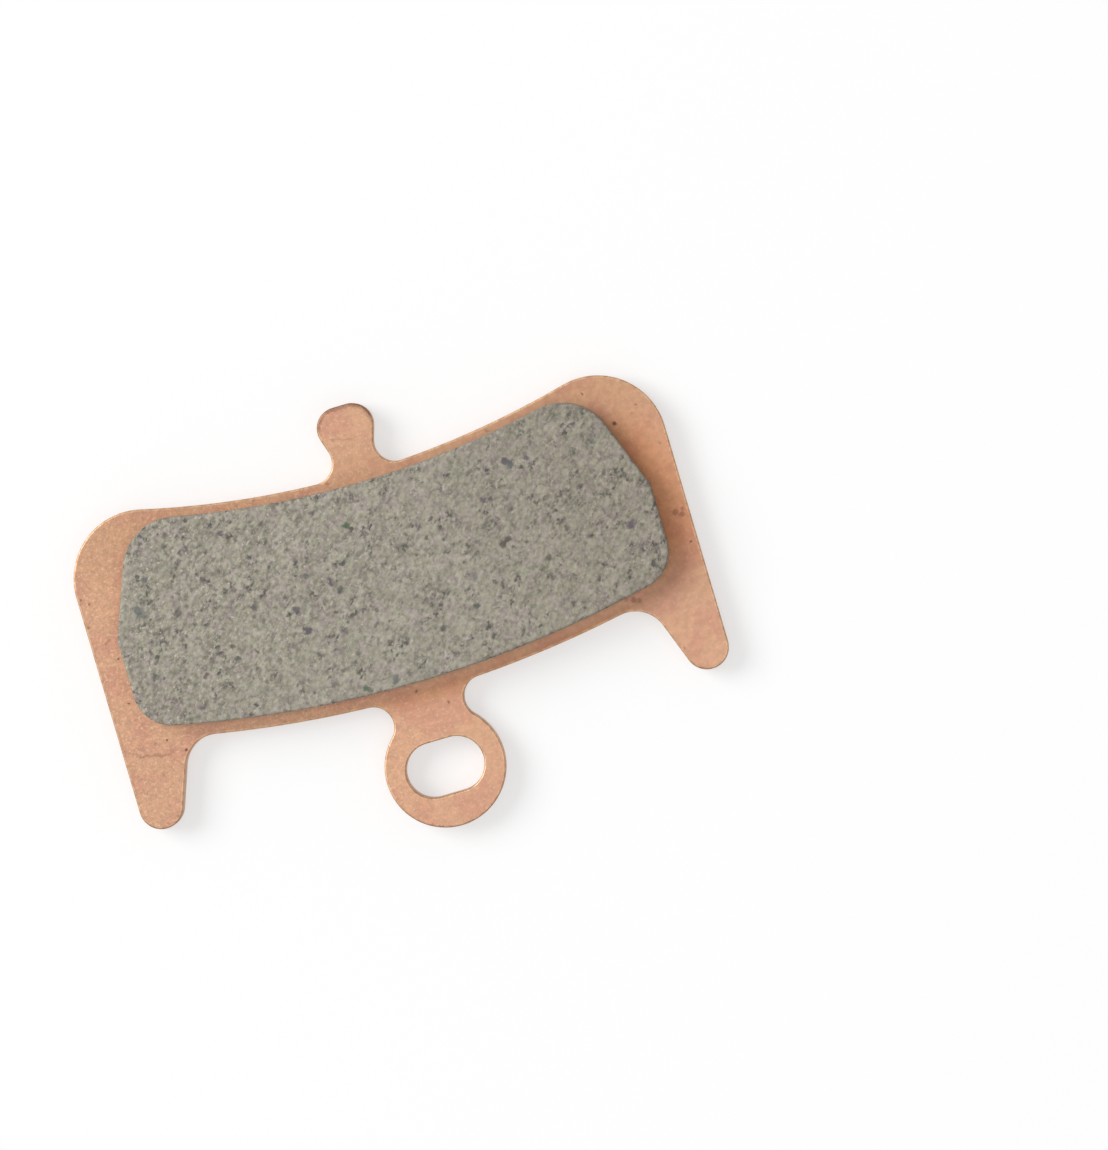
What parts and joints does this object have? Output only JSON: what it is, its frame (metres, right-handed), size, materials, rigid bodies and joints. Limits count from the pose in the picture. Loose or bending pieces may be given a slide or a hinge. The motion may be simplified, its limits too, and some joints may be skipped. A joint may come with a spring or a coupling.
{
  "type": "bicycle disc brake pad",
  "caption": "Flat disc brake pad: a copper-plated steel plate with end legs, a tab and a slotted pin eye, carrying a grey pressed friction block on its front.",
  "frame": {"origin": "centre of the pin slot, on the plate's back face", "axes": "+X along the pad, +Y from the pin slot to the rotor's axis, +Z out of the friction face"},
  "size_m": [0.0434, 0.0309, 0.004],
  "materials": {
    "copper_plated_steel": "satin copper plating",
    "friction_compound": "matte granular sintered compound"
  },
  "bodies": {
    "root": {"backing_plate": "copper_plated_steel", "friction_block": "friction_compound"}
  },
  "joints": []
}
